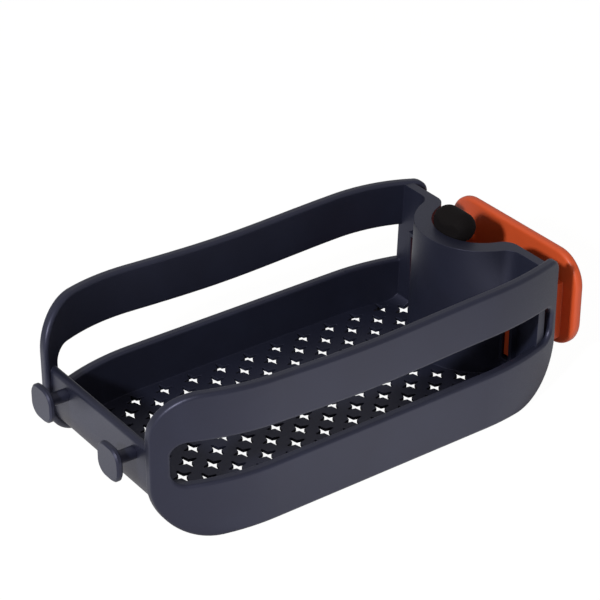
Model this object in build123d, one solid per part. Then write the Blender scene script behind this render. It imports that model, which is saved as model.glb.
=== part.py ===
from build123d import *
import math
import os

# Sink caddy: a long open basket of moulded plastic. It stands on the lower edges of its
# two side panels. X runs along the basket towards the clamp, Y across it, Z up.
# The shapes are first drawn from the middle of the floor's star pattern, at the level that
# the basket stands on. At the end everything is moved along X, so that the origin lies
# under the middle of the overall length.

# Basket outline
left_reach = 106.0
right_reach = 114.0
basket_width = 120.0
wall = 5.0
rim_height_middle = 70.0
rim_height_left = 73.5
rim_height_crest = 72.0
rim_height_right = 70.0
rim_middle_x = 2.0
rim_crest_x = 78.0
left_bend_radius = 104.0
left_bend_length = 54.0
right_bend_radius = 124.0
right_bend_length = 48.0
foot_radius = 29.0
shoulder_radius = 21.0
right_shoulder_radius = 6.0
rim_rounding = 1.6

# Window in each side panel
band_height = 23.4
window_sill = 28.8
window_left_bar = 8.5
window_right_bar = 4.5
window_corner = 6.5

# Tray: low end wall, floor and the curves between them
low_wall_height = 44.0
low_wall = 4.5
low_wall_inset = 2.6
floor_level = 5.8
floor_thickness = 1.6
tray_curve = 25.5
low_wall_rounding = 2.0

# Star-shaped drain holes
star_pitch = 8.0
star_tip = 4.6
star_tip_width = 0.9
star_waist_share = 0.4
star_side_margin = 11.0
star_left_margin = 33.5
star_right_margin = 17.5

# Tall end wall with the faucet pocket
end_rim_height = 70.0
end_wall = 4.5
end_wall_inset = 7.5
end_tray_curve = 14.0
pocket_radius = 23.0
pocket_centre_back = 5.5
pocket_lip_radius = 8.0
column_wall = 8.2
column_sweep_radius = 8.0
column_draft = 2.0

# Rubber bumper in the pocket
bumper_width = 12.0
bumper_strip_depth = 9.0
bumper_foot_gap = 14.0
bumper_head_radius = 7.2
bumper_head_width = 22.0
bumper_head_rounding = 6.5
bumper_head_level = 73.0
bumper_head_stand_off = 7.1
bumper_gap = 0.2

# Clamp that slides on two arms
clamp_travel = 14.0
clamp_closed_gap = 1.5
clamp_width = 93.0
clamp_height = 50.6
clamp_thickness = 4.8
clamp_bottom = 10.6
clamp_corner = 16.0
clamp_edge_rounding = 2.0
arm_spacing = 70.0
arm_width = 4.0
arm_height = 30.0
arm_level = 31.0
arm_barb_height = 1.6
arm_barb_length = 3.5
arm_slit = 1.6
guide_wall = 2.0
guide_overlap = 1.5
slide_clearance = 0.3

# Hook pegs on the low end wall
peg_spacing = 55.4
peg_level = 37.4
peg_stem_radius = 3.0
peg_head_size = 16.8
peg_head_corner = 6.4
peg_head_thickness = 3.0
peg_head_chamfer = 0.8
peg_stand_off = 10.5
peg_spigot_radius = 2.2
peg_collar_thickness = 1.2
peg_collar_radius = 3.0

overrun = 5.0
wall_slack = 0.5
low_wall_slack = 0.5

half_width = basket_width / 2
rim_top = max(rim_height_left, rim_height_crest)
column_radius = pocket_radius + column_wall
pocket_centre_x = right_reach - pocket_centre_back
end_outer_x = right_reach - end_wall_inset
end_inner_x = end_outer_x - end_wall
peg_reach = left_reach + peg_stand_off
clamp_inner_x = right_reach + clamp_closed_gap + clamp_travel
clamp_outer_x = clamp_inner_x + clamp_thickness
window_left_reach = left_reach - window_left_bar
window_right_reach = right_reach - window_right_bar
star_rows = int((half_width - star_side_margin) / star_pitch)
star_columns_left = int((left_reach - star_left_margin) / star_pitch)
star_columns_right = int((right_reach - star_right_margin) / star_pitch)
origin_x = (clamp_outer_x - peg_reach) / 2
guide_inner_x = end_inner_x - arm_barb_length - guide_overlap


def bent_half_width(radius, run, inset):
    """Half the width of the plan at the end of a bend that runs along X."""
    bend = radius - inset
    return half_width - inset - bend + math.sqrt(bend**2 - run**2)


def plan_face(inset):
    """Plan of the basket, drawn in by an inset: straight sides with gently bent ends."""
    half = half_width - inset
    left_x = -left_reach - overrun
    left_start = -left_reach + left_bend_length
    right_start = right_reach - right_bend_length
    right_x = right_reach + overrun
    left_half = bent_half_width(left_bend_radius, left_start - left_x, inset)
    right_half = bent_half_width(right_bend_radius, right_x - right_start, inset)
    edges = [
        Line((left_start, -half), (right_start, -half)),
        TangentArc((right_start, -half), (right_x, -right_half), tangent=(1, 0)),
        Line((right_x, -right_half), (right_x, right_half)),
        TangentArc((right_start, half), (right_x, right_half), tangent=(1, 0)),
        Line((right_start, half), (left_start, half)),
        TangentArc((left_start, half), (left_x, left_half), tangent=(-1, 0)),
        Line((left_x, left_half), (left_x, -left_half)),
        TangentArc((left_start, -half), (left_x, -left_half), tangent=(-1, 0)),
    ]
    return make_face(edges)


def plan_solid(inset, bottom, top):
    """The basket's plan, drawn in by an inset and raised between two levels."""
    return Pos(0, 0, bottom) * extrude(plan_face(inset), top - bottom)


def rim_curve(drop):
    """The wavy line of the rim, lowered by a drop."""
    fall = rim_height_right - rim_height_crest
    return Spline(
        (-left_reach, rim_height_left - drop),
        (rim_middle_x, rim_height_middle - drop),
        (rim_crest_x, rim_height_crest - drop),
        (right_reach, rim_height_right - drop),
        tangents=[(1, 0), (right_reach - rim_crest_x, 2 * fall)],
    )


def panel_outline():
    """Side view of a panel: flat foot, round lower corners and a wavy rim."""
    edges = [
        rim_curve(0),
        Line((-left_reach, rim_height_left), (-left_reach, 0)),
        Line((-left_reach, 0), (right_reach, 0)),
        Line((right_reach, 0), (right_reach, rim_height_right)),
    ]
    face = make_face(edges)
    feet = [v for v in face.vertices() if v.Y < wall]
    face = fillet(feet, foot_radius)
    shoulder = [v for v in face.vertices() if v.Y > rim_height_left - wall and v.X < wall - left_reach]
    face = fillet(shoulder, shoulder_radius)
    corner = [v for v in face.vertices() if v.Y > rim_height_right - wall and v.X > right_reach - wall]
    return fillet(corner, right_shoulder_radius)


def window_outline():
    """Side view of the long window under the upper band of a panel."""
    left = -window_left_reach
    right = window_right_reach
    box = Pos((left + right) / 2, (window_sill + rim_top) / 2) * Rectangle(
        right - left, rim_top - window_sill)
    under = make_face([
        rim_curve(band_height),
        Line((-left_reach, rim_height_left - band_height), (-left_reach, 0)),
        Line((-left_reach, 0), (right_reach, 0)),
        Line((right_reach, 0), (right_reach, rim_height_right - band_height)),
    ])
    face = box & under
    return fillet(face.vertices(), window_corner)


def across(sketch, width):
    """A side-view sketch made solid across the basket, centred on its middle."""
    upright = Plane(origin=(0, width / 2, 0), x_dir=(1, 0, 0), z_dir=(0, -1, 0))
    return extrude(upright * sketch, width)


def rounded_panels(panels):
    """The side panels with their rims, feet, ends and window edges rounded."""
    seams = (left_reach - left_bend_length, right_reach - right_bend_length)
    rims = []
    for edge in panels.edges():
        size = edge.bounding_box().size
        across_wall = max(size.X, size.Z) < wall_slack
        upright_seam = size.X < wall_slack and min(abs(abs(edge.center().X) - x) for x in seams) < wall_slack
        if not across_wall and not upright_seam:
            rims.append(edge)
    return fillet(rims, rim_rounding)


def side_panels():
    """The two side panels, cut from one bent band."""
    band = plan_solid(0, 0, rim_top + overrun) - plan_solid(wall, -overrun, rim_top + 2 * overrun)
    outline = across(panel_outline(), 2 * basket_width)
    window = across(window_outline(), 2 * basket_width)
    return rounded_panels((band & outline) - window)


def tray_profile(offset):
    """Side view of the tray's outer face, drawn in by an offset."""
    left = -left_reach + low_wall_inset + offset
    right = end_outer_x - offset
    bottom = floor_level - floor_thickness + min(offset, floor_thickness)
    top = rim_top + overrun
    face = make_face(Polyline((left, top), (left, bottom), (right, bottom), (right, top), close=True))
    low_foot = [v for v in face.vertices() if v.Y < floor_level + wall and v.X < 0]
    face = fillet(low_foot, tray_curve - offset)
    end_foot = [v for v in face.vertices() if v.Y < floor_level + wall and v.X > right - wall]
    return fillet(end_foot, end_tray_curve - offset)


def tray():
    """Floor that curves up into the low end wall and the tall end wall."""
    width = 2 * basket_width
    shell = across(tray_profile(0), width) - across(tray_profile(low_wall), width)
    left_cut = Pos(-left_reach, 0, low_wall_height + rim_top) * Box(
        left_reach, width, 2 * rim_top)
    top_cut = Pos(0, 0, end_rim_height + rim_top) * Box(2 * width, width, 2 * rim_top)
    shell = shell - left_cut - top_cut
    rims = [e for e in shell.edges() if e.center().Z > low_wall_height - low_wall_slack]
    shell = fillet([e for e in rims if e.center().X < 0], low_wall_rounding)
    return shell & plan_solid(wall / 2, 0, 2 * rim_top)


def star_hole():
    """One four-pointed star with blunt tips, drawn as a face."""
    waist = star_tip * star_waist_share / math.sqrt(2)
    half_tip = star_tip_width / 2
    star = Sketch()
    for arm in range(4):
        point = Polyline((0, 0), (waist, -waist), (star_tip, -half_tip),
                         (star_tip, half_tip), (waist, waist), close=True)
        star += Rot(0, 0, 90 * arm) * make_face(point)
    return star


def clear_of_column(x, y):
    """Whether a star at a place keeps its four tips off the foot of the column."""
    foot_radius_here = column_radius + (end_rim_height - floor_level) * math.tan(math.radians(column_draft))
    tips = [(x + star_tip, y), (x - star_tip, y), (x, y + star_tip), (x, y - star_tip)]
    return min(math.hypot(tip_x - pocket_centre_x, tip_y) for tip_x, tip_y in tips) > foot_radius_here


def star_places():
    """Centres of the drain holes: a staggered grid that stays clear of walls and pocket."""
    places = []
    for column in range(-star_columns_left, star_columns_right + 1):
        for row in range(-star_rows, star_rows + 1):
            x = column * star_pitch
            y = row * star_pitch
            if (column + row) % 2 == 1 and clear_of_column(x, y):
                places.append((x, y))
    return places


def drain_holes():
    """All drain holes, as one set of prisms through the floor."""
    star = star_hole()
    stars = Sketch() + [Pos(x, y) * star for x, y in star_places()]
    return Pos(0, 0, -overrun) * extrude(stars, floor_level + 2 * overrun)


def pocket_plan():
    """Plan of the faucet pocket: a round seat, open towards the clamp, with round lips."""
    seat = Pos(pocket_centre_x, 0) * Circle(pocket_radius)
    beyond = Pos(end_outer_x + half_width / 2, 0) * Rectangle(
        half_width, 2 * (pocket_radius + 2 * pocket_lip_radius))
    face = seat + beyond
    mouth = [v for v in face.vertices() if abs(v.X - end_outer_x) < wall]
    lips = [v for v in mouth if abs(abs(v.Y) - pocket_radius) < wall]
    return fillet(lips, pocket_lip_radius)


def column_plan():
    """Plan of the column that stands in the basket round the pocket, swept into the end wall."""
    circle = Pos(pocket_centre_x, 0) * Circle(column_radius)
    strip = Pos((end_inner_x + end_outer_x) / 2, 0) * Rectangle(end_wall, basket_width - 2 * wall)
    face = circle & Pos(end_outer_x - half_width, 0) * Rectangle(basket_width, basket_width)
    face = face + strip
    at_wall = [v for v in face.vertices() if abs(v.X - end_inner_x) < wall]
    corners = [v for v in at_wall if abs(abs(v.Y) - column_radius) < wall]
    return fillet(corners, column_sweep_radius)


def pocket_column():
    """Column with draft, wider at the floor than at the rim."""
    top = Pos(0, 0, end_rim_height) * column_plan()
    height = end_rim_height - floor_level
    return extrude(top, -height, taper=-column_draft)


def arm_guides():
    """Guides on the inner face of the tall end wall, one for each arm."""
    length = end_outer_x - guide_inner_x - end_wall / 2
    height = arm_height + 2 * (arm_barb_height + slide_clearance + guide_wall)
    guide = Box(length, arm_width + 2 * (slide_clearance + guide_wall), height)
    return [Pos(guide_inner_x + length / 2, side * arm_spacing / 2, arm_level) * guide for side in (-1, 1)]


def arm_slots():
    """Slots through the tall end wall, each wider in its guide, where the snap end runs."""
    cuts = []
    width = arm_width + 2 * slide_clearance
    for side in (-1, 1):
        y = side * arm_spacing / 2
        slot_height = arm_height + 2 * slide_clearance
        slot_length = end_wall + 2 * overrun
        cuts.append(Pos((end_inner_x + end_outer_x) / 2, y, arm_level) * Box(slot_length, width, slot_height))
        chamber_length = end_inner_x - guide_inner_x + column_radius
        chamber_height = slot_height + 2 * arm_barb_height
        cuts.append(Pos(end_inner_x - chamber_length / 2, y, arm_level) * Box(
            chamber_length, width, chamber_height))
    return cuts


def peg_holes():
    """Holes in the low end wall that take the spigots of the pegs."""
    hole = Rot(0, 90, 0) * Cylinder(peg_spigot_radius, 4 * low_wall)
    x = -left_reach + low_wall_inset
    return [Pos(x, side * peg_spacing / 2, peg_level) * hole for side in (-1, 1)]


def basket_shell():
    """The basket moulding."""
    body = pocket_column() & plan_solid(wall / 2, 0, end_rim_height) & across(tray_profile(0), basket_width)
    shell = tray() + body
    shell = shell + side_panels()
    shell = shell + arm_guides()
    pocket = Pos(0, 0, -overrun) * extrude(pocket_plan(), rim_top + 3 * overrun)
    return shell - pocket - arm_slots() - peg_holes() - drain_holes()


def neck_bumper():
    """Rubber strip in the pocket with a rounded roller-shaped head over the rim."""
    apex_x = pocket_centre_x - pocket_radius + bumper_gap
    strip_height = bumper_head_level - bumper_foot_gap
    strip = Pos(apex_x + bumper_strip_depth / 2, 0, bumper_foot_gap + strip_height / 2) * Box(
        bumper_strip_depth, bumper_width, strip_height)
    seat = Pos(pocket_centre_x, 0, end_rim_height / 2) * Cylinder(
        pocket_radius - bumper_gap, 2 * rim_top)
    roller = Rot(90, 0, 0) * Cylinder(bumper_head_radius, bumper_head_width)
    roller = fillet(roller.edges().filter_by(GeomType.CIRCLE), bumper_head_rounding)
    head = Pos(apex_x + bumper_head_stand_off, 0, bumper_head_level) * roller
    return (strip & seat) + (head & seat)


def clamp_plate():
    """Plate of the clamp, upright, with round corners and soft edges."""
    outline = RectangleRounded(clamp_width, clamp_height, clamp_corner)
    upright = Plane(origin=(clamp_inner_x, 0, clamp_bottom + clamp_height / 2),
                    x_dir=(0, 1, 0), z_dir=(1, 0, 0))
    plate = extrude(upright * outline, clamp_thickness)
    rims = [e for e in plate.edges() if abs(e.bounding_box().size.X) < slide_clearance]
    return fillet(rims, clamp_edge_rounding)


def clamp_arm(side):
    """One arm of the clamp, with a snap end that stops it in its guide."""
    shoulder_x = end_inner_x - slide_clearance
    tip_x = shoulder_x - arm_barb_length
    y = side * arm_spacing / 2
    length = clamp_inner_x - tip_x
    bar = Pos(tip_x + length / 2, y, arm_level) * Box(length, arm_width, arm_height)
    half = arm_height / 2
    barb = make_face(Polyline(
        (tip_x, half - arm_barb_height),
        (shoulder_x, half + arm_barb_height),
        (shoulder_x, -half - arm_barb_height),
        (tip_x, -half + arm_barb_height), close=True))
    upright = Plane(origin=(0, y + arm_width / 2, arm_level), x_dir=(1, 0, 0), z_dir=(0, -1, 0))
    snap = extrude(upright * barb, arm_width)
    slit = Pos(tip_x, y, arm_level) * Box(4 * arm_barb_length, 2 * arm_width, arm_slit)
    return bar + snap - slit


def clamp_slider():
    """The sliding clamp: plate and two arms in one moulding."""
    return clamp_plate() + clamp_arm(-1) + clamp_arm(1)


def hook_peg(side):
    """Mushroom peg: rounded square head, round stem and a snap collar behind the low end wall."""
    outer = left_reach - low_wall_inset
    inner = outer - low_wall
    collar = inner - peg_collar_thickness
    neck = peg_reach - peg_head_thickness
    profile = make_face(Polyline(
        (neck, 0),
        (neck, peg_stem_radius),
        (outer, peg_stem_radius),
        (outer, peg_spigot_radius),
        (inner, peg_spigot_radius),
        (inner, peg_collar_radius),
        (collar, peg_spigot_radius),
        (collar, 0), close=True))
    stem = revolve(profile, Axis.X)
    face = Plane(origin=(neck, 0, 0), x_dir=(0, 1, 0), z_dir=(1, 0, 0))
    head = extrude(face * RectangleRounded(peg_head_size, peg_head_size, peg_head_corner), peg_head_thickness)
    rims = [e for e in head.edges() if e.bounding_box().size.X < peg_head_chamfer / 2]
    peg = chamfer(rims, peg_head_chamfer) + stem
    return Pos(0, side * peg_spacing / 2, peg_level) * Rot(0, 0, 180) * peg


pieces = {
    "basket_shell": basket_shell(),
    "neck_bumper": neck_bumper(),
    "clamp_slider": clamp_slider(),
    "hook_peg_far": hook_peg(1),
    "hook_peg_near": hook_peg(-1),
}
os.makedirs("parts", exist_ok=True)
for name, piece in pieces.items():
    placed = Pos(-origin_x, 0, 0) * piece
    export_step(placed, "parts/" + name + ".step")
    print(name, len(placed.solids()), round(placed.volume), placed.bounding_box())
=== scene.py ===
import math

import bpy
import numpy as np
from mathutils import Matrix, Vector


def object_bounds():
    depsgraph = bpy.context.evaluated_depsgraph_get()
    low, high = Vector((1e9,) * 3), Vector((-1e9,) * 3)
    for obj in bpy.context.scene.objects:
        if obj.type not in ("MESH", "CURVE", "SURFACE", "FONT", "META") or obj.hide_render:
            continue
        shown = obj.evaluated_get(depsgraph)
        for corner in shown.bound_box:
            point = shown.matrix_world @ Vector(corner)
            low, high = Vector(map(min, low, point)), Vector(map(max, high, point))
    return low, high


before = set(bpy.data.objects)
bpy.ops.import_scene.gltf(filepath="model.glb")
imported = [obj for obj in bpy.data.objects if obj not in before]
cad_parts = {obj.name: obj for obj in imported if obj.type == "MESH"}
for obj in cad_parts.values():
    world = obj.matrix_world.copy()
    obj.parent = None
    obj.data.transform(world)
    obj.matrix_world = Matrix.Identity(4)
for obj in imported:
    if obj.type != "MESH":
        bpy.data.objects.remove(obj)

bl_info = {
    "name": "Kitchen sink caddy",
    "version": (1, 0, 0),
    "blender": (4, 5, 0),
    "location": "View3D > Sidebar > Caddy",
    "description": "Moulded finishes and studio for a drain basket with a faucet clamp",
    "category": "Object",
}

CAD_LOW, CAD_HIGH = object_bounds()
MILLIMETRE = 0.001
SENSOR_WIDTH_MM = 36.0
CLIP_NEAR, CLIP_FAR = 0.05, 50.0
WHITE = (1.0, 1.0, 1.0, 1.0)
# The noise texture seldom leaves these two values, so a ramp between them uses its full width.
NOISE_LOW, NOISE_HIGH = 0.3, 0.7


def linear(hex_colour):
    """Turns an sRGB hex colour into linear red, green and blue."""
    channels = [int(hex_colour[place:place + 2], 16) / 255 for place in (1, 3, 5)]
    return tuple(
        c / 12.92 if c <= 0.04045 else ((c + 0.055) / 1.055) ** 2.4 for c in channels)


def add_node(tree, kind, settings=None, values=None, links=None):
    """Adds a node, sets its fields and sockets and links its inputs to other outputs."""
    node = tree.nodes.new(kind)
    for field, value in (settings or {}).items():
        setattr(node, field, value)
    for socket, value in (values or {}).items():
        node.inputs[socket].default_value = value
    for socket, output in (links or {}).items():
        tree.links.new(output, node.inputs[socket])
    return node


def empty_material(name):
    """A material with no nodes, ready for its own."""
    material = bpy.data.materials.new(name)
    material.use_nodes = True
    material.node_tree.nodes.clear()
    return material


def moulded_material(name, face, shade, finish, roughness, spread, ior, gloss, tint):
    """Moulded plastic or rubber: a cloudy tone from the flow of the melt, and the mould's fine grain.

    The tone runs from shade to face with a wide noise. The grain is a fine noise that drives
    both a bump and a change of roughness by the spread. Gloss and tint are the strength and the
    colour of the reflection, and edges look rounded by the edge radius.
    """
    material = empty_material(name)
    tree = material.node_tree
    place = add_node(tree, "ShaderNodeTexCoord").outputs["Object"]
    flow = add_node(tree, "ShaderNodeTexNoise", values={
        "Scale": 1 / finish.cloud, "Detail": 3.0, "Roughness": 0.5, "Distortion": 0.6},
        links={"Vector": place})
    skin = add_node(tree, "ShaderNodeTexNoise", values={
        "Scale": 1 / finish.grain, "Detail": 2.0, "Roughness": 0.6}, links={"Vector": place})
    tone = add_node(tree, "ShaderNodeValToRGB", links={"Fac": flow.outputs["Fac"]})
    low, high = tone.color_ramp.elements
    low.position, high.position = NOISE_LOW, NOISE_HIGH
    low.color, high.color = (*shade, 1.0), (*face, 1.0)
    matt = add_node(tree, "ShaderNodeMapRange", values={
        "From Min": NOISE_LOW, "From Max": NOISE_HIGH,
        "To Min": roughness - spread, "To Max": roughness + spread},
        links={"Value": skin.outputs["Fac"]})
    soft_edge = add_node(
        tree, "ShaderNodeBevel", settings={"samples": 6}, values={"Radius": finish.edge})
    bump = add_node(tree, "ShaderNodeBump", values={"Strength": 0.35, "Distance": finish.relief},
                    links={"Height": skin.outputs["Fac"], "Normal": soft_edge.outputs["Normal"]})
    surface = add_node(tree, "ShaderNodeBsdfPrincipled", values={
        "IOR": ior, "Specular IOR Level": gloss, "Specular Tint": (*linear(tint), 1.0)}, links={
        "Base Color": tone.outputs["Color"],
        "Roughness": matt.outputs["Result"],
        "Normal": bump.outputs["Normal"],
    })
    add_node(tree, "ShaderNodeOutputMaterial", links={"Surface": surface.outputs["BSDF"]})
    return material


def navy_abs(finish):
    """Dark navy ABS from a fine-textured mould: matte, with a wide soft sheen of the room."""
    return moulded_material(
        "ABS_moulded_matte_navy", finish.navy_face, finish.navy_shade, finish,
        roughness=0.44, spread=0.05, ior=1.52, gloss=0.55, tint="#DDDDFF")


def orange_abs(finish):
    """Burnt orange ABS from the same kind of mould, a little smoother to the eye."""
    return moulded_material(
        "ABS_moulded_satin_orange", finish.orange_face, finish.orange_shade, finish,
        roughness=0.42, spread=0.04, ior=1.5, gloss=0.5, tint="#FFFFFF")


def black_rubber(finish):
    """Black silicone rubber, pressed: no clear highlight, only a dull grey bloom."""
    return moulded_material(
        "Silicone_rubber_pressed_black", finish.rubber_face, finish.rubber_shade, finish,
        roughness=0.85, spread=0.05, ior=1.41, gloss=0.2, tint="#FFFFFF")


def dress(node, material):
    """Gives a CAD piece its one material."""
    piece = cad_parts[node]
    piece.data.materials.clear()
    piece.data.materials.append(material)


class CaddyFinish(bpy.types.PropertyGroup):
    """Colours and surface sizes of the moulded pieces."""

    navy_face: bpy.props.FloatVectorProperty(
        name="Navy", description="Lighter tone of the basket's plastic", subtype="COLOR",
        size=3, min=0.0, max=1.0, default=linear("#1C1F2E"))
    navy_shade: bpy.props.FloatVectorProperty(
        name="Navy shade", description="Darker tone of the basket's plastic", subtype="COLOR",
        size=3, min=0.0, max=1.0, default=linear("#181A27"))
    orange_face: bpy.props.FloatVectorProperty(
        name="Orange", description="Lighter tone of the clamp's plastic", subtype="COLOR",
        size=3, min=0.0, max=1.0, default=linear("#D0542A"))
    orange_shade: bpy.props.FloatVectorProperty(
        name="Orange shade", description="Darker tone of the clamp's plastic", subtype="COLOR",
        size=3, min=0.0, max=1.0, default=linear("#C64D26"))
    rubber_face: bpy.props.FloatVectorProperty(
        name="Rubber", description="Lighter tone of the bumper's rubber", subtype="COLOR",
        size=3, min=0.0, max=1.0, default=linear("#0E0A0B"))
    rubber_shade: bpy.props.FloatVectorProperty(
        name="Rubber shade", description="Darker tone of the bumper's rubber", subtype="COLOR",
        size=3, min=0.0, max=1.0, default=linear("#0A0708"))
    # The real grain is about 0.1 mm wide, too fine to show, so it is drawn coarser.
    grain: bpy.props.FloatProperty(
        name="Grain", description="Width of one grain of the mould's fine texture",
        unit="LENGTH", min=0.0001, default=0.6 * MILLIMETRE)
    relief: bpy.props.FloatProperty(
        name="Relief", description="Depth of the mould's fine texture",
        unit="LENGTH", min=0.0, default=0.03 * MILLIMETRE)
    edge: bpy.props.FloatProperty(
        name="Edge radius", description="Radius at which small moulded edges catch light",
        unit="LENGTH", min=0.0, default=0.4 * MILLIMETRE)
    cloud: bpy.props.FloatProperty(
        name="Flow width", description="Width of the faint clouds that the melt leaves",
        unit="LENGTH", min=0.001, default=30 * MILLIMETRE)


class CaddyStudio(bpy.types.PropertyGroup):
    """Camera, floor, room and lamp of the studio."""

    azimuth: bpy.props.FloatProperty(
        name="Azimuth", description="Camera's turn round the caddy, from the front",
        subtype="ANGLE", default=math.radians(-35.9))
    elevation: bpy.props.FloatProperty(
        name="Elevation", description="Camera's height over the horizon",
        subtype="ANGLE", default=math.radians(30.3))
    distance: bpy.props.FloatProperty(
        name="Distance", description="From the camera to the point that it looks at",
        unit="LENGTH", default=1.05)
    aim: bpy.props.FloatVectorProperty(
        name="Aim", description="Point that the camera looks at", subtype="TRANSLATION",
        size=3, default=(0.01818, 0.03256, 0.03854))
    lens: bpy.props.FloatProperty(
        name="Lens", description="Focal length on a 36 mm sensor, in millimetres",
        default=133.8)
    floor_radius: bpy.props.FloatProperty(
        name="Floor radius", description="Radius of the round floor", unit="LENGTH", default=4.0)
    floor_colour: bpy.props.FloatVectorProperty(
        name="Floor", description="Colour of the floor", subtype="COLOR",
        size=3, min=0.0, max=1.0, default=linear("#F3F3F3"))
    floor_white: bpy.props.FloatProperty(
        name="Floor brightness", description="Strength of the plain white in what is seen of the floor",
        min=0.0, default=1.03)
    floor_glow: bpy.props.FloatProperty(
        name="Floor white", description="Share of plain white in what is seen of the floor",
        subtype="FACTOR", min=0.0, max=1.0, default=0.95)
    # Two pools of painted glow on the floor, and a dim painted glow round them, that only a gloss sees:
    # painted reflections, not lamps.
    front_painted_glow: bpy.props.FloatVectorProperty(
        name="Front pool", description="Middle of the pool of light in front, that a gloss mirrors",
        subtype="TRANSLATION", size=3, default=(0.015, -0.14, 0.0))
    front_radius: bpy.props.FloatProperty(
        name="Front pool radius", description="Distance at which the front pool has faded",
        unit="LENGTH", min=0.01, default=0.25)
    front_bright: bpy.props.FloatProperty(
        name="Front pool brightness", description="Brightness in the middle of the front pool",
        min=0.0, default=1.35)
    end_painted_glow: bpy.props.FloatVectorProperty(
        name="End pool", description="Middle of the pool of light beside the low end",
        subtype="TRANSLATION", size=3, default=(-0.2, 0.06, 0.0))
    end_radius: bpy.props.FloatProperty(
        name="End pool radius", description="Distance at which the end pool has faded",
        unit="LENGTH", min=0.01, default=0.16)
    end_bright: bpy.props.FloatProperty(
        name="End pool brightness", description="Brightness in the middle of the end pool",
        min=0.0, default=1.45)
    painted_glow_dim: bpy.props.FloatProperty(
        name="Dim floor", description="Brightness that a gloss mirrors outside both pools",
        min=0.0, default=0.6)
    room_light: bpy.props.FloatProperty(
        name="Room light", description="Strength of the even light of the room", default=0.34)
    room_gloss: bpy.props.FloatProperty(
        name="Room gloss", description="Strength of the room that a gloss mirrors", default=0.5)
    room_colour: bpy.props.FloatVectorProperty(
        name="Room colour", description="Colour of the even light of the room", subtype="COLOR",
        size=3, min=0.0, max=1.0, default=linear("#FFEED7"))
    key_place: bpy.props.FloatVectorProperty(
        name="Key lamp place", description="Where the main lamp stands, in front of the low end",
        subtype="TRANSLATION", size=3, default=(-1.29, -0.65, 0.98))
    key_width: bpy.props.FloatProperty(
        name="Key lamp width", description="Width of the main lamp: a wide one casts soft shadows",
        unit="LENGTH", min=0.01, default=0.12)
    key_aim: bpy.props.FloatVectorProperty(
        name="Key lamp aim", description="Point in the caddy that the main lamp shines at",
        subtype="TRANSLATION", size=3, default=(0.0, 0.0, 0.03))
    key_power: bpy.props.FloatProperty(
        name="Key lamp power", description="Power of the main lamp, in watts", default=26.0)


class CADDY_OT_basket(bpy.types.Operator):
    """Finishes the basket moulding as matte navy ABS"""

    bl_idname = "caddy.basket"
    bl_label = "Basket"

    def execute(self, context):
        dress("basket_shell", navy_abs(context.scene.caddy_finish))
        return {"FINISHED"}


class CADDY_OT_pegs(bpy.types.Operator):
    """Finishes both hook pegs as matte navy ABS"""

    bl_idname = "caddy.pegs"
    bl_label = "Hook pegs"

    def execute(self, context):
        material = navy_abs(context.scene.caddy_finish)
        for node in ("hook_peg_far", "hook_peg_near"):
            dress(node, material)
        return {"FINISHED"}


class CADDY_OT_clamp(bpy.types.Operator):
    """Finishes the sliding clamp as satin orange ABS"""

    bl_idname = "caddy.clamp"
    bl_label = "Clamp"

    def execute(self, context):
        dress("clamp_slider", orange_abs(context.scene.caddy_finish))
        return {"FINISHED"}


class CADDY_OT_bumper(bpy.types.Operator):
    """Finishes the bumper in the faucet pocket as black rubber"""

    bl_idname = "caddy.bumper"
    bl_label = "Bumper"

    def execute(self, context):
        dress("neck_bumper", black_rubber(context.scene.caddy_finish))
        return {"FINISHED"}


def round_floor(radius, rings=6, spokes=48):
    """Flat disc: each point lies at radius times a share, along a spoke's turn.

    Quads join the rings, and triangles close the middle.
    """
    share = np.linspace(0.0, 1.0, rings + 1)[1:, None]
    turn = np.linspace(0.0, 2 * np.pi, spokes, endpoint=False)[None, :]
    x, y = radius * share * np.cos(turn), radius * share * np.sin(turn)
    points = np.stack([x, y, np.zeros_like(x)], axis=-1).reshape(-1, 3)
    points = np.vstack([points, np.zeros((1, 3))])
    here = np.arange(spokes)
    after = (here + 1) % spokes
    start = spokes * np.arange(rings - 1)[:, None]
    outside = start + spokes
    quads = np.stack([start + here, outside + here, outside + after, start + after], axis=-1)
    middle = np.stack([np.full(spokes, rings * spokes), here, after], axis=-1)
    mesh = bpy.data.meshes.new("studio_floor")
    mesh.from_pydata(points.tolist(), [], quads.reshape(-1, 4).tolist() + middle.tolist())
    mesh.update()
    return mesh


def painted_glow_pool(tree, place, middle, radius, bright, dim):
    """Brightness of a painted pool of glow, not a lamp's light: bright at its middle, fading smoothly
    to dim at its radius.
    """
    away = add_node(tree, "ShaderNodeVectorMath", settings={"operation": "DISTANCE"},
                    values={1: middle}, links={0: place})
    return add_node(tree, "ShaderNodeMapRange", settings={"interpolation_type": "SMOOTHSTEP"}, values={
        "From Min": 0.0, "From Max": radius, "To Min": bright, "To Max": dim},
        links={"Value": away.outputs["Value"]}).outputs["Result"]


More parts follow.
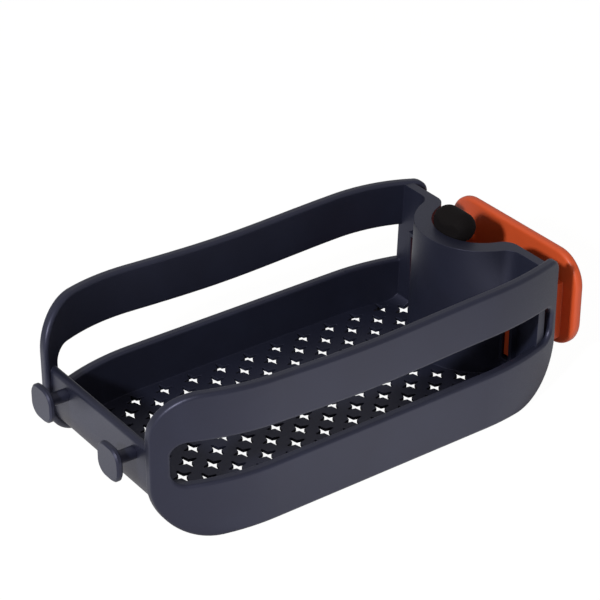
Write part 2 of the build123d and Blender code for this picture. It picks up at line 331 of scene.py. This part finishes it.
def floor_material(studio):
    """White painted board: matte, and seen by a lens as mostly plain white with a faint shadow.

    For a gloss only, the floor glows with painted light: the brighter of two painted pools, one in
    front of the caddy and one beside its low end, and a dim painted glow round them, so a gloss shows
    them as painted reflections. Under the caddy it mirrors the shaded board itself.
    """
    material = empty_material("Board_painted_white")
    tree = material.node_tree
    path = add_node(tree, "ShaderNodeLightPath")
    place = add_node(tree, "ShaderNodeTexCoord").outputs["Object"]
    front = painted_glow_pool(
        tree, place, studio.front_painted_glow, studio.front_radius, studio.front_bright, studio.painted_glow_dim)
    end = painted_glow_pool(
        tree, place, studio.end_painted_glow, studio.end_radius, studio.end_bright, studio.painted_glow_dim)
    # Level of the painted glow: the brighter of the two painted pools.
    pool = add_node(tree, "ShaderNodeMath", settings={"operation": "MAXIMUM"}, links={0: front, 1: end})
    # A point is clear of the caddy where it lies outside the CAD box along X or along Y.
    sides = add_node(tree, "ShaderNodeVectorMath", settings={"operation": "ABSOLUTE"}, links={0: place})
    shares = add_node(tree, "ShaderNodeVectorMath", settings={"operation": "DIVIDE"},
                      values={1: (CAD_HIGH[0], CAD_HIGH[1], 1.0)}, links={0: sides.outputs["Vector"]})
    axes = add_node(tree, "ShaderNodeSeparateXYZ", links={"Vector": shares.outputs["Vector"]})
    reach = add_node(tree, "ShaderNodeMath", settings={"operation": "MAXIMUM"},
                     links={0: axes.outputs["X"], 1: axes.outputs["Y"]})
    clear = add_node(tree, "ShaderNodeMath", settings={"operation": "GREATER_THAN"},
                     values={1: 1.0}, links={0: reach.outputs["Value"]})
    # Only a gloss sees the painted glow, and only outside the caddy's box: a painted reflection on the
    # caddy.
    mirrored = add_node(tree, "ShaderNodeMath", settings={"operation": "MULTIPLY"},
                        links={0: path.outputs["Is Glossy Ray"], 1: clear.outputs["Value"]})
    seen = add_node(tree, "ShaderNodeMath", settings={"operation": "MULTIPLY"},
                    values={1: studio.floor_glow}, links={0: path.outputs["Is Camera Ray"]})
    board = add_node(tree, "ShaderNodeBsdfDiffuse", values={"Color": (*studio.floor_colour, 1.0)})
    white = add_node(tree, "ShaderNodeEmission", values={"Strength": studio.floor_white})
    # Painted glow, no lamp: only glossy rays see it.
    light = add_node(tree, "ShaderNodeEmission", links={"Strength": pool.outputs["Value"]})
    plain = add_node(tree, "ShaderNodeMixShader", links={
        "Fac": seen.outputs["Value"], 1: board.outputs["BSDF"], 2: white.outputs["Emission"]})
    mix = add_node(tree, "ShaderNodeMixShader", links={
        "Fac": mirrored.outputs["Value"], 1: plain.outputs["Shader"], 2: light.outputs["Emission"]})
    add_node(tree, "ShaderNodeOutputMaterial", links={"Surface": mix.outputs["Shader"]})
    return material


def add_room(studio):
    """Even room: it lights softly and warmly, a gloss mirrors it white, and a lens sees plain white."""
    world = bpy.data.worlds.new("studio_room")
    bpy.context.scene.world = world
    world.use_nodes = True
    tree = world.node_tree
    tree.nodes.clear()
    path = add_node(tree, "ShaderNodeLightPath")
    soft = add_node(tree, "ShaderNodeBackground", values={
        "Color": (*studio.room_colour, 1.0), "Strength": studio.room_light})
    bright = add_node(tree, "ShaderNodeBackground", values={
        "Color": WHITE, "Strength": studio.room_gloss})
    white = add_node(tree, "ShaderNodeBackground", values={"Color": WHITE, "Strength": 1.0})
    felt = add_node(tree, "ShaderNodeMixShader", links={
        "Fac": path.outputs["Is Glossy Ray"],
        1: soft.outputs["Background"],
        2: bright.outputs["Background"],
    })
    mix = add_node(tree, "ShaderNodeMixShader", links={
        "Fac": path.outputs["Is Camera Ray"],
        1: felt.outputs["Shader"],
        2: white.outputs["Background"],
    })
    add_node(tree, "ShaderNodeOutputWorld", links={"Surface": mix.outputs["Shader"]})


def add_lamp(name, place, aim, width, power):
    """Square lamp that shines from its place at its aim."""
    data = bpy.data.lights.new(name, "AREA")
    data.shape = "SQUARE"
    data.size = width
    data.energy = power
    lamp = bpy.data.objects.new(name, data)
    bpy.context.scene.collection.objects.link(lamp)
    lamp.location = place
    lamp.rotation_euler = (Vector(aim) - Vector(place)).to_track_quat("-Z", "Y").to_euler()


def add_camera(studio):
    """Camera on a line from its aim, at an azimuth from the front and an elevation."""
    turn, rise = studio.azimuth, studio.elevation
    back = Vector((math.sin(turn) * math.cos(rise), -math.cos(turn) * math.cos(rise), math.sin(rise)))
    data = bpy.data.cameras.new("studio_camera")
    data.sensor_width = SENSOR_WIDTH_MM
    data.lens = studio.lens
    data.clip_start, data.clip_end = CLIP_NEAR, CLIP_FAR
    camera = bpy.data.objects.new("studio_camera", data)
    bpy.context.scene.collection.objects.link(camera)
    camera.rotation_mode = "QUATERNION"
    camera.location = Vector(studio.aim) + back * studio.distance
    camera.rotation_quaternion = (-back).to_track_quat("-Z", "Y")
    bpy.context.scene.camera = camera


class CADDY_OT_studio(bpy.types.Operator):
    """Sets up the floor, the soft light and the camera"""

    bl_idname = "caddy.studio"
    bl_label = "Studio"

    def execute(self, context):
        studio = context.scene.caddy_studio
        floor = bpy.data.objects.new("studio_floor", round_floor(studio.floor_radius))
        context.scene.collection.objects.link(floor)
        floor.data.materials.append(floor_material(studio))
        add_room(studio)
        add_lamp("key_lamp", studio.key_place, studio.key_aim, studio.key_width, studio.key_power)
        add_camera(studio)
        context.scene.view_settings.view_transform = "Standard"
        return {"FINISHED"}


class CADDY_PT_panel(bpy.types.Panel):
    """Lists the caddy's finishes and studio with their operators"""

    bl_label = "Sink caddy"
    bl_idname = "CADDY_PT_panel"
    bl_space_type = "VIEW_3D"
    bl_region_type = "UI"
    bl_category = "Caddy"

    def draw(self, context):
        layout = self.layout
        for group in (context.scene.caddy_finish, context.scene.caddy_studio):
            box = layout.box()
            for field in group.__annotations__:
                box.prop(group, field)
        for operator in OPERATORS:
            layout.operator(operator.bl_idname)


OPERATORS = (CADDY_OT_basket, CADDY_OT_pegs, CADDY_OT_clamp, CADDY_OT_bumper, CADDY_OT_studio)
CLASSES = (CaddyFinish, CaddyStudio, *OPERATORS, CADDY_PT_panel)


def register():
    """Registers the classes and hangs the two groups on the scene."""
    for item in CLASSES:
        bpy.utils.register_class(item)
    bpy.types.Scene.caddy_finish = bpy.props.PointerProperty(type=CaddyFinish)
    bpy.types.Scene.caddy_studio = bpy.props.PointerProperty(type=CaddyStudio)


def unregister():
    """Takes back what register did."""
    del bpy.types.Scene.caddy_studio
    del bpy.types.Scene.caddy_finish
    for item in reversed(CLASSES):
        bpy.utils.unregister_class(item)


def main():
    register()
    bpy.ops.caddy.basket()
    bpy.ops.caddy.pegs()
    bpy.ops.caddy.clamp()
    bpy.ops.caddy.bumper()
    bpy.ops.caddy.studio()


if __name__ == "__main__":
    main()
